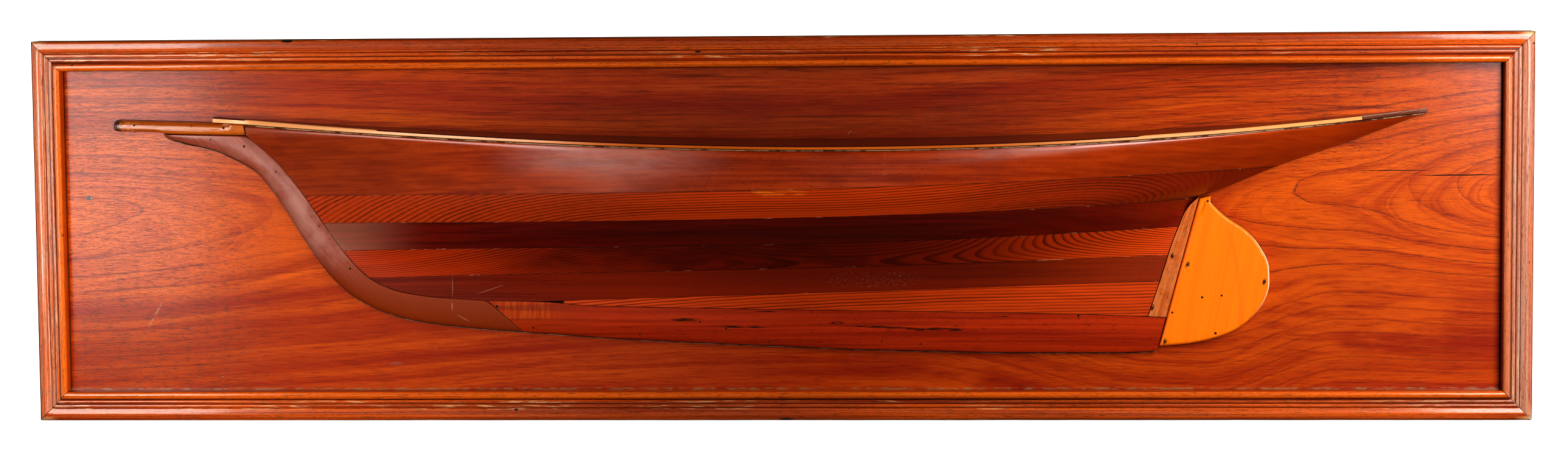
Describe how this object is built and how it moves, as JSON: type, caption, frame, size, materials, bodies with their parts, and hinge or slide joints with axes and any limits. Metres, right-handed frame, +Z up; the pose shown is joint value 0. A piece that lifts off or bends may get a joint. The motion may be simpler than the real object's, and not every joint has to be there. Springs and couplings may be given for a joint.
{
  "type": "ship half hull model",
  "caption": "Laminated half hull of a clipper-bowed yacht, with stem, keel, rudder and bowsprit, on a mahogany backboard in a mitred moulded frame.",
  "frame": {"origin": "middle of the flat back of the backboard, at the wall", "axes": "+X along the length towards the stern, +Y into the wall, +Z up; the hull stands out towards -Y"},
  "size_m": [1.2, 0.1225, 0.308],
  "materials": {
    "frame_mahogany": "old amber varnish, worn pale on the edges",
    "backboard_mahogany": "glossy red-brown varnish over open-pored grain",
    "lift_mahogany": "glossy red-brown varnish",
    "lift_dark_mahogany": "glossy dark varnish",
    "lift_pitch_pine": "glossy varnish over strongly ringed pitch pine",
    "stem_wood": "satin varnish, dull purple brown",
    "keel_mahogany": "glossy orange-red varnish",
    "sternpost_wood": "glossy light orange varnish",
    "rudder_wood": "glossy bright orange varnish",
    "rail_wood": "pale varnished edge grain",
    "stern_rail_wood": "dark varnish",
    "bowsprit_wood": "glossy orange varnish, worn at the tip"
  },
  "bodies": {
    "root": {"backboard": "backboard_mahogany", "frame_top": "frame_mahogany", "frame_bottom": "frame_mahogany", "frame_left": "frame_mahogany", "frame_right": "frame_mahogany", "lift_1": "lift_mahogany", "lift_2": "lift_pitch_pine", "lift_3": "lift_dark_mahogany", "lift_4": "lift_pitch_pine", "lift_5": "lift_mahogany", "lift_6": "lift_pitch_pine", "stem": "stem_wood", "keel": "keel_mahogany", "sternpost": "sternpost_wood", "rudder": "rudder_wood", "rail_plank": "rail_wood", "rail_stern_length": "stern_rail_wood", "bowsprit": "bowsprit_wood"}
  },
  "joints": []
}
